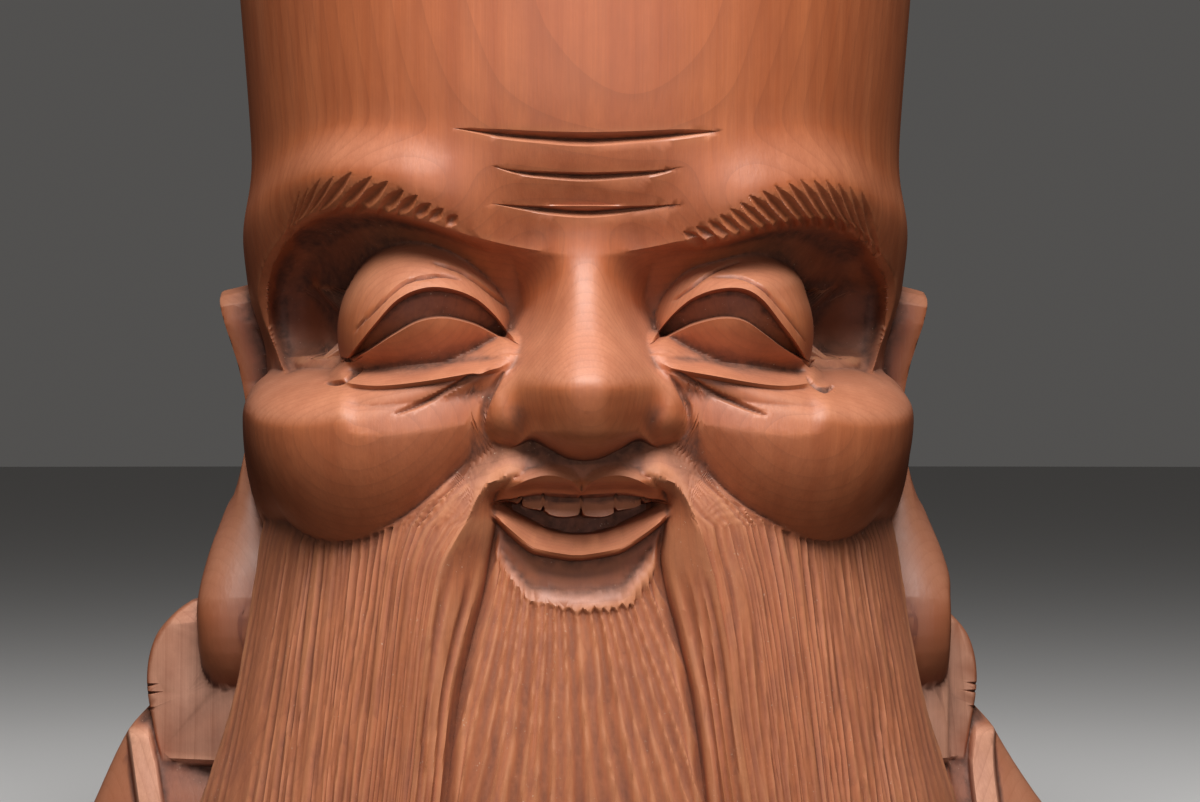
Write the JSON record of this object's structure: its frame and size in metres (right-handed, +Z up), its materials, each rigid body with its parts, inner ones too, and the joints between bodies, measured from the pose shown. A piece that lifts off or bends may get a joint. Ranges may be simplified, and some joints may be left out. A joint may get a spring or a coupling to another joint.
{
  "type": "carved wooden bust",
  "caption": "Carved wooden bust of a laughing bald sage with a tall forehead, long ears and a grooved beard over a collared robe, cut flat below.",
  "frame": {"origin": "centre of the bounding box in plan, on the flat underside", "axes": "+Z up through the crown, -Y out of the face, +X to the figure's left"},
  "size_m": [0.131, 0.094, 0.15],
  "materials": {
    "wood": "waxed, satin"
  },
  "bodies": {
    "root": {"shou_lao_bust": "wood"}
  },
  "joints": []
}
